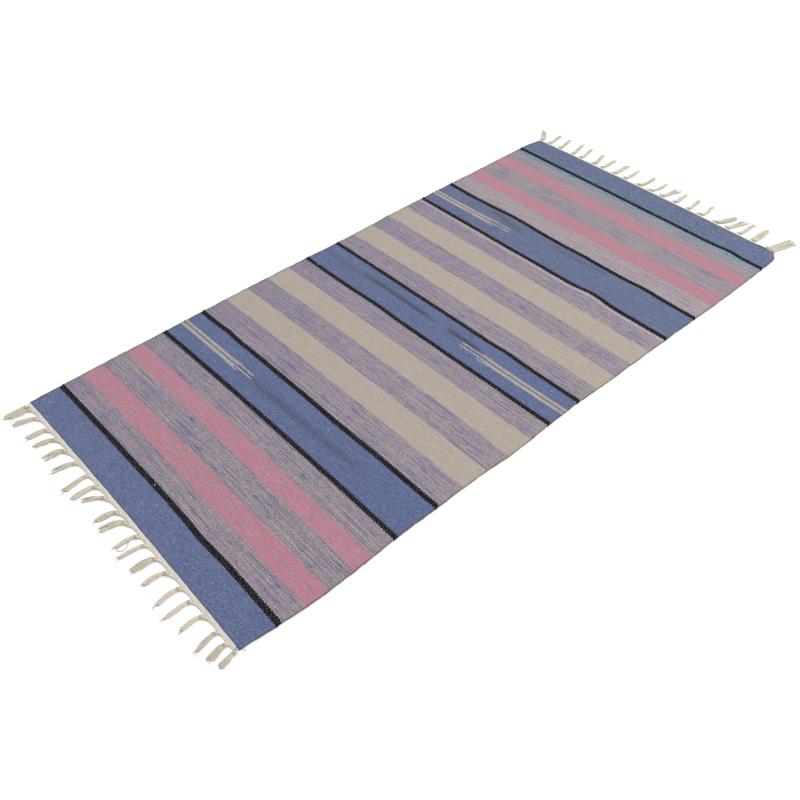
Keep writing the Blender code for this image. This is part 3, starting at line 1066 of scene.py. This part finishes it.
def twisted(
    path, radius, start_turn, tint,
    lobes=YARN_LOBES, pitch=YARN_PITCH, sides=YARN_SIDES, depth=YARN_LOBE_DEPTH,
):
    """A plied yarn or rope along a path: a lobed section that turns as it goes."""
    tangents = np.gradient(path, axis=0)
    tangents /= np.linalg.norm(tangents, axis=1)[:, None]
    beside = np.cross((0, 0, 1), tangents)
    beside /= np.linalg.norm(beside, axis=1)[:, None]
    up = np.cross(tangents, beside)
    distance = np.concatenate([[0], np.cumsum(np.linalg.norm(np.diff(path, axis=0), axis=1))])
    radii = np.broadcast_to(radius, (len(path),))
    around = math.tau * np.arange(sides) / sides
    reach = radii[:, None] * (1 + depth * np.cos(lobes * around))
    turn = (math.tau * distance / pitch + start_turn)[:, None] + around
    points = (
        path[:, None]
        + beside[:, None] * (np.cos(turn) * reach)[..., None]
        + up[:, None] * (np.sin(turn) * reach)[..., None]
    )
    yarn = stacked(distance[:, None], around * sides / math.tau, tint)
    last = (len(path) - 1) * sides
    ends = [range(sides)[::-1], range(last, last + sides)]
    faces = ring_faces(len(path), sides).tolist() + ends
    return points.reshape(-1, 3), faces, yarn.reshape(-1, 3)


def smooth_path(corners, step):
    """Points about one step apart on a smooth curve through the corners."""
    corners = np.asarray(corners, float)
    padded = np.concatenate([[2 * corners[0] - corners[1]], corners, [2 * corners[-1] - corners[-2]]])
    points = []
    for index in range(len(corners) - 1):
        before, start, end, after = padded[index:index + 4]
        count = max(2, round(np.linalg.norm(end - start) / step))
        share = (np.arange(count) / count)[:, None]
        points.append(0.5 * (
            2 * start + (end - before) * share
            + (2 * before - 5 * start + 4 * end - after) * share**2
            + (3 * start - before - 3 * end + after) * share**3
        ))
    return np.concatenate(points + [corners[-1:]])


def end_edge(across, near):
    """Where the cloth's end lies, at places across it."""
    return place(0 if near else CLOTH_LENGTH, across)[0]


def heading_share(across, low, high):
    """How much of its depth a heading has, as it narrows towards its two ends."""
    return HEADING_LEAST + (1 - HEADING_LEAST) * eased(np.minimum(across - low, high - across) / ROPE_TAPER)


def root_depth(root, near):
    """How far out of the cloth's end a tassel's root lies."""
    end = 0 if near else CLOTH_LENGTH
    depth = NEAR_HEADING_DEPTH if near else FAR_HEADING_DEPTH
    return float(depth * heading_share(root, right_edge(end), left_edge(end)))


def hook(out, near, tips):
    """How far a knotted tassel's root is drawn aside by the warps that come into it."""
    reach = 0 if tips > 2 else -NEAR_HOOK if near else FAR_HOOK
    return reach * eased(1 - np.maximum(out, 0) / HOOK_REACH)


def make_heading(name, ropes, tassels, near, paints):
    """Cords along the cloth's end, and the warps past them drawn aside to their knots."""
    stock = Stock()
    outward = -1 if near else 1
    end = 0 if near else CLOTH_LENGTH
    low, high = right_edge(end), left_edge(end)
    across = np.linspace(low, high, round((high - low) / ROPE_STEP))
    narrowed = heading_share(across, low, high)
    for index, (out, radius, lobes, depth, pitch, height, slot) in enumerate(ropes):
        waver = sum(
            reach * np.sin(across / length + order * index)
            for order, (reach, length) in enumerate(ROPE_WAVERS, 1)
        )
        path = stacked(end_edge(across, near) + outward * (out * narrowed + waver), across, height)
        uneven = 1 + ROPE_UNEVEN * np.sin(across / ROPE_UNEVEN_LENGTH + index)
        thickness = radius * uneven * (ROPE_LEAST + (1 - ROPE_LEAST) * narrowed)
        stock.add(*twisted(path, thickness, index, index / 3, lobes, pitch, ROPE_SIDES, depth), slot)
    rng = np.random.default_rng(FAN_SEED)
    rows = sorted(tassels, key=lambda row: row[0] * outward)
    first, last = (high, low) if near else (low, high)
    starts = [first + outward] + [row[0] - 2 * outward for row in rows[1:]] + [last - outward]
    for (root, _, _, _, wide, _, yarns, tips), start, stop in zip(rows, starts, starts[1:]):
        depth = root_depth(root, near)
        gathered = LOOSE_SPREAD * wide if tips > 2 else FAN_GATHERED
        for index in range(yarns):
            aside = start + (stop - start) * (index + 0.5) / yarns - root
            lane = 2 * index / (yarns - 1) - 1
            wander = rng.uniform(-FAN_WANDER, FAN_WANDER, 2)
            corners = []
            for out, share, height in FAN_CORNERS:
                drawn = (outward * lane * gathered + hook(out, near, tips)) * (1 - share) ** 2
                y = root + aside * share + drawn
                x = end_edge(y, near) + outward * (depth + out + wander[0] * (1 - share))
                corners.append((x, y, height + FAN_TILT * lane * (1 - share) + wander[1]))
            path = smooth_path(corners, FAN_STEP)
            stock.add(*twisted(path, FAN_RADIUS, rng.uniform(0, math.tau), rng.uniform()), 2)
    return make_piece(name, stock, paints)


def make_tassels(name, tassels, near, seed, paints):
    """Yarns drawn out of the heading, each group through its own knot."""
    stock = Stock()
    rng = np.random.default_rng(seed)
    outward = -1 if near else 1
    for root, reach, bow, sway, wide, tip, yarns, tips in tassels:
        start = np.array((end_edge(root, near) + outward * root_depth(root, near), root))

        def centre(out):
            share = max(out / reach, 0)
            aside = sway * share + bow * math.sin(math.pi * share**BOW_PEAK)
            aside += wave * math.sin(math.pi * share)
            return start + np.array((outward * out, aside + hook(out, near, tips)))

        def at(out, aside, height):
            heading = centre(out + 1) - centre(out - 1)
            heading /= np.linalg.norm(heading)
            beside = np.array((-heading[1], heading[0]))
            return (*(centre(out) + (beside if beside[1] > 0 else -beside) * aside), height)

        half = (yarns - 1) / 2
        bulk = math.sqrt(yarns / USUAL_YARNS)
        loose = LOOSE_SPREAD * wide if tips > 2 else ROOT_SPREAD * bulk
        longest, wave = rng.uniform(-LONGEST_LANE, LONGEST_LANE), TASSEL_WAVE * rng.uniform(-1, 1)
        tone = rng.uniform(*TASSEL_TONES)
        for index in range(yarns):
            layer = index % 2
            lane = (index - half) / half
            slant = TASSEL_SLANT * abs(lane - longest) ** TASSEL_SLANT_POWER
            length = reach * (1 - slant - TASSEL_FRAY * rng.uniform())
            corners = [at(out, lane * loose, ROOT_HEIGHT + rise * layer) for out, rise in ROOT_CORNERS]
            for out, near_share, far_share, height, rise in TASSEL_CORNERS:
                aside = lane * wide * (near_share if near else far_share)
                corners.append(at(out, aside, height + layer * rise))
            for share, wander, rise in TASSEL_STATIONS:
                pull = FORK_PULL * eased(2 * share - 1) if tips > 1 else 0
                tip_lane = round((lane + 1) / 2 * (tips - 1)) * 2 / max(tips - 1, 1) - 1
                gathered = lane + pull * (tip_lane - lane)
                spread = 1 + (tip - 1) * eased(2 * share - 1)
                aside = gathered * wide * spread + wander * rng.uniform(-1, 1)
                corners.append(at(length * share, aside, TASSEL_LOW + rise * layer))
            path = smooth_path(corners, YARN_STEP)
            radius = np.full(len(path), YARN_RADII[layer])
            radius[-2:] *= TIP_TAPER
            stock.add(*twisted(path, radius, rng.uniform(0, math.tau), tone + rng.uniform(0, YARN_TONES)))
        for _ in range(HAIRS):
            aside, length = wide * rng.uniform(-HAIR_ASIDE, HAIR_ASIDE), reach * rng.uniform(*HAIR_REACHES)
            path = smooth_path([
                at(length * share, aside * spread + rng.uniform(-1, 1), HAIR_HEIGHT)
                for share, spread in HAIR_STATIONS
            ], HAIR_STEP)
            stock.add(*twisted(path, HAIR_RADIUS, 0, rng.uniform(), sides=HAIR_SIDES, depth=0))
        # Knots take the second paint: the warp with painted shade at the near end and painted light at the
        # far end
        for lane in KNOT_LANES if tips < 3 else ():
            corners = []
            for turn in np.radians(np.linspace(-KNOT_TURN, KNOT_TURN, KNOT_POINTS)):
                out = KNOT_START + lane + KNOT_TRAVEL * (turn / math.radians(KNOT_TURN) + 1) / 2
                height = max(KNOT_MIDDLE + KNOT_HALF_HEIGHT * bulk * math.cos(turn), KNOT_LOW)
                corners.append(at(out, KNOT_HALF_WIDTH * bulk * math.sin(turn), height))
            path = smooth_path(corners, YARN_STEP)
            stock.add(*twisted(path, YARN_RADII[1], rng.uniform(0, math.tau), rng.uniform()), 1)
    return make_piece(name, stock, paints)


def make_threads():
    """Loose ends of yarn beside the cloth, and a pale blue thread along the rolled selvedge at the far right
    corner.
    """
    names = sorted({yarn for yarn, _, _ in LOOSE_THREADS} | {"pale_blue"})
    stock = Stock()
    for index, (name, radius, corners) in enumerate(LOOSE_THREADS):
        path = smooth_path(corners, THREAD_STEP)
        thread = twisted(path, radius, index, index / 8, pitch=THREAD_PITCH, sides=THREAD_SIDES)
        stock.add(*thread, names.index(name))
    first, last, inset, radius, lift = PALE_CORNER_LINE
    along = np.arange(first, last, 1.0)
    across = right_edge(along) + inset
    path = stacked(*place(along, across), surface(along, across) + lift)
    drawn = twisted(path, radius, 0, 0.5, pitch=THREAD_PITCH, sides=THREAD_SIDES)
    stock.add(*drawn, names.index("pale_blue"))
    return make_piece("loose_threads", stock, names)


def linear(colour):
    """Albedo that looks like a photo colour under this light."""
    shares = [value / 255 for value in colour]
    straight = [v / 12.92 if v <= 0.04045 else ((v + 0.055) / 1.055) ** 2.4 for v in shares]
    return (*(value / LIGHT_LEVEL for value in straight), 1)


def sum_with(operation, swapped=False):
    """Arithmetic on a node's value and another value or number."""
    def added(self, other):
        return self.shader.maths(operation, *((other, self) if swapped else (self, other)))
    return added


class Value:
    """What a node gives. Arithmetic on it adds more nodes."""

    def __init__(self, shader, socket):
        self.shader, self.socket = shader, socket

    __add__ = sum_with("ADD")
    __sub__ = sum_with("SUBTRACT")
    __rsub__ = sum_with("SUBTRACT", swapped=True)
    __mul__ = sum_with("MULTIPLY")
    __truediv__ = sum_with("DIVIDE")
    __mod__ = sum_with("FLOORED_MODULO")
    __pow__ = sum_with("POWER")


class Shader:
    """A cotton material and short calls that add nodes to it."""

    def __init__(self, name, colour, fuzz):
        self.material = bpy.data.materials.new(name + "_cotton")
        self.material.use_nodes = True
        self.tree = self.material.node_tree
        self.cotton = self.tree.nodes["Principled BSDF"].inputs
        self.cotton["Base Color"].default_value = linear(colour)
        self.cotton["Roughness"].default_value = COTTON_ROUGHNESS
        self.cotton["Specular IOR Level"].default_value = fuzz
        self.cotton["Sheen Weight"].default_value = fuzz
        self.cotton["Sheen Roughness"].default_value = SHEEN_ROUGHNESS

    def node(self, kind, *values, output=0, **settings):
        """Add a node, its first inputs linked or set in turn, apart from those given as None."""
        made = self.tree.nodes.new("ShaderNode" + kind)
        for key, setting in settings.items():
            setattr(made, key, setting)
        for value, socket in zip(values, made.inputs):
            if isinstance(value, Value):
                self.tree.links.new(value.socket, socket)
            elif value is not None:
                socket.default_value = value
        return Value(self, made.outputs[output])

    def maths(self, operation, *values):
        return self.node("Math", *values, operation=operation)

    def remap(self, value, low, high, new_low, new_high):
        return self.node("MapRange", value, low, high, new_low, new_high)

    def vary(self, value, low, high, spread):
        """A factor that is 1 in the middle of a value's range, and more or less by a spread at its ends."""
        return self.remap(value, low, high, 1 - spread, 1 + spread)

    def split(self, attribute):
        source = self.node("Attribute", output=1, attribute_name=attribute)
        return [Value(self, output) for output in self.node("SeparateXYZ", source).socket.node.outputs]

    def noise(self, detail, *place):
        return self.node("TexNoise", self.node("CombineXYZ", *place), None, 1, detail)

    def speckle(self, *place):
        return self.node("TexWhiteNoise", self.node("CombineXYZ", *place))

    def along_pick(self, pick, distance, length, seed):
        """Noise that lasts about a length along a pick, and starts anew on each pick."""
        return self.noise(0, self.speckle(pick, seed, 0.5) * PICK_SCATTER, distance / length, seed)

    def ramp(self, value, stops, dyes):
        ramped = self.node("ValToRGB", value)
        elements = ramped.socket.node.color_ramp.elements
        while len(elements) < len(stops):
            elements.new(0.5)
        for element, position, dye in zip(elements, stops, dyes):
            element.position = position
            element.color = linear(dye)
        return ramped

    def mix(self, share, first, second):
        return self.node("Mix", share, *[None] * 5, first, second, output=2, data_type="RGBA")

    def finish(self, colour, factor, height, relief):
        """The material, with the colour made lighter and darker by a factor, and a relief in millimetres."""
        shown = self.node("VectorMath", colour, None, None, factor, operation="SCALE")
        bump = self.node("Bump", 1, relief * MM, None, height)
        self.tree.links.new(shown.socket, self.cotton["Base Color"])
        self.tree.links.new(bump.socket, self.cotton["Normal"])
        return self.material


def weft_material(
    name, dyes, streak, spread,
    nep=(190, 190, 200), clouds=0.03, painted_light_right=0, slubs=0, strays=(), fuzz=WEFT_FUZZ, stops=None,
):
    """Weft-faced plain weave: each rib shows every other pick, as a short plump stitch.

    Streak is how far a dye lasts along a pick, and spread is how much lighter and darker its stitches are.
    Nep is the colour of its neps, clouds is how much lighter and darker wide patches are, drift is how much
    further the dye is towards the last, palest one at the right selvedge, which paints light on that side,
    and slubs is how much its thick and thin places add to the spread. Each of the strays is a dye that few
    picks have: colour, least noise, how far it lasts, picks. The last part of a noise's place only sets its
    pattern apart from the others.
    """
    shader = Shader(name, dyes[0], fuzz)
    along, rib, shaded = shader.split("weave")
    rib_index, rib_inside = shader.maths("FLOOR", rib), shader.maths("FRACT", rib)
    parity = rib_index % 2
    step = along / STITCH_LENGTH + parity * 0.5 + (rib_inside - 0.5) * STITCH_SLANT
    stitch, inside = shader.maths("FLOOR", step), shader.maths("FRACT", step)
    pick = stitch * 2 - parity
    yarn = shader.maths("FLOOR", pick / YARN_PICKS)
    pair = shader.maths("FLOOR", yarn / 2)
    distance = rib_index * RIB_PITCH
    mottle = shader.noise(3, along / MOTTLE_LENGTH, distance / streak, 4.4)
    single = shader.along_pick(pick, distance, streak, 2.3)
    swing = shader.along_pick(pair, distance, streak * PAIR_STREAK, 5.1) - 0.5
    double = (yarn % 2 * 2 - 1) * swing + 0.5
    patch = shader.noise(0, along / PATCH_SIZE[0], rib / PATCH_SIZE[1], 6.2)
    # Painted light: the dye moves towards its palest one towards the right selvedge
    dye = (1 - rib / RIBS) * painted_light_right
    for amount, share in zip((single, double, patch, mottle), DYE_SHARES):
        dye = dye + amount * share
    colour = shader.ramp(shader.remap(dye, *DYE_RANGE, 0, 1), stops or DYE_STOPS[len(dyes)], dyes)
    for index, (stray, least, length, picks) in enumerate(strays):
        group = shader.maths("FLOOR", pick / picks)
        amount = shader.along_pick(group, distance, length, 7.1 + 3 * index)
        colour = shader.mix(shader.remap(amount, least, least + 0.05, 0, 1), colour, linear(stray))
    fleck = shader.speckle(pick, rib_index, 9.5) ** FLECK_RARITY
    colour = shader.mix(fleck * FLECK_STRENGTH, colour, linear(nep))
    grain = shader.vary(shader.speckle(pick, rib_index, 1.5), 0, 1, spread)
    blotch = shader.noise(0, along / BLOTCH_SIZE[0], rib / BLOTCH_SIZE[1], 2.9)
    uneven = shader.vary(blotch, 0.25, 0.75, 0.4 * spread + slubs)
    warmth = shader.remap(patch, 0.25, 0.75, -HUE_DRIFT, HUE_DRIFT) + shaded * SHADE_WARMTH
    balance = shader.node("CombineXYZ", warmth + 1, 1, 1 - warmth)
    colour = shader.node("VectorMath", colour, balance, operation="MULTIPLY")
    cloud = shader.vary(mottle, 0.3, 0.7, clouds)
    from_middle = shader.maths("ABSOLUTE", inside * 2 - 1)
    # Painted shade in the gaps between stitches: each stitch darker towards its tips
    gap_shade = shader.remap(from_middle**4, 0, 1, *STITCH_SHADES)
    height = shader.maths("SQRT", 1.02 - from_middle**2)
    return shader.finish(colour, grain * uneven * cloud * gap_shade * (1 - shaded), height, STITCH_RELIEF)


def yarn_material(name, colour):
    """Spun cotton: fine fibres along the yarn, each yarn a little lighter or darker."""
    shader = Shader(name, colour, BLACK_FUZZ if name == "black" else YARN_FUZZ)
    length, around, tint = shader.split("yarn")
    fibres = shader.noise(3, length * 0.3, around * 1.6, tint * 40)
    own = shader.vary(tint, 0, 1, WARP_SPREAD if name in ("warp", "far_warp") else YARN_SPREAD)
    return shader.finish(linear(colour)[:3], own * shader.vary(fibres, 0.3, 0.7, 0.1), fibres, YARN_RELIEF)


def make_studio():
    bpy.ops.mesh.primitive_circle_add(vertices=96, radius=FLOOR_RADIUS, fill_type="NGON")
    floor = bpy.context.object
    floor.name = "floor"
    floor.location.z = -FLOOR_DROP
    material = bpy.data.materials.new("pale_floor")
    material.use_nodes = True
    inputs = material.node_tree.nodes["Principled BSDF"].inputs
    inputs["Base Color"].default_value = (FLOOR_WHITE, FLOOR_WHITE, FLOOR_WHITE, 1)
    inputs["Roughness"].default_value = 1
    inputs["Specular IOR Level"].default_value = 0
    floor.data.materials.append(material)
    for index, (where, size, power) in enumerate(SOFTBOXES):
        light = bpy.data.lights.new(f"softbox_{index}", "AREA")
        light.shape = "DISK"
        light.size = size
        light.energy = power
        holder = add_object(light.name, light)
        holder.location = where
        holder.rotation_euler = (-holder.location).to_track_quat("-Z", "Y").to_euler()
    world = bpy.data.worlds.new("studio")
    world.use_nodes = True
    background = world.node_tree.nodes["Background"].inputs
    background["Color"].default_value = (1, 1, 1, 1)
    background["Strength"].default_value = WORLD_LEVEL
    bpy.context.scene.world = world
    bpy.context.scene.view_settings.view_transform = "Standard"


def make_camera():
    data = bpy.data.cameras.new("camera")
    data.lens = CAMERA_LENS
    data.sensor_width = CAMERA_SENSOR
    camera = add_object("camera", data)
    camera.location = CAMERA_PLACE
    camera.rotation_euler = [math.radians(angle) for angle in CAMERA_TURN]
    bpy.context.scene.camera = camera


PILLOW_FACES = pillow_faces()
MATERIALS = {}


def main():
    make_camera()
    make_studio()
    MATERIALS.update((name, weft_material(name, **settings)) for name, settings in WEFTS.items())
    MATERIALS.update((name, yarn_material(name, colour)) for name, colour in PAINTS.items())
    cloth = make_cloth()
    with_cloth = [
        make_selvedges(),
        make_lines(),
        make_inlays(),
        make_strays(),
        make_heading("near_heading", NEAR_ROPES, NEAR_TASSELS, True, NEAR_ROPE_PAINTS),
        make_heading("far_heading", FAR_ROPES, FAR_TASSELS, False, FAR_ROPE_PAINTS),
        make_threads(),
    ]
    near = make_tassels("near_tassels", NEAR_TASSELS, True, TASSEL_SEED, ("warp", "knot"))
    far = make_tassels("far_tassels", FAR_TASSELS, False, TASSEL_SEED + 1, ("far_warp", "far_knot"))
    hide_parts("near_fringe")
    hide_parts("far_fringe")


main()
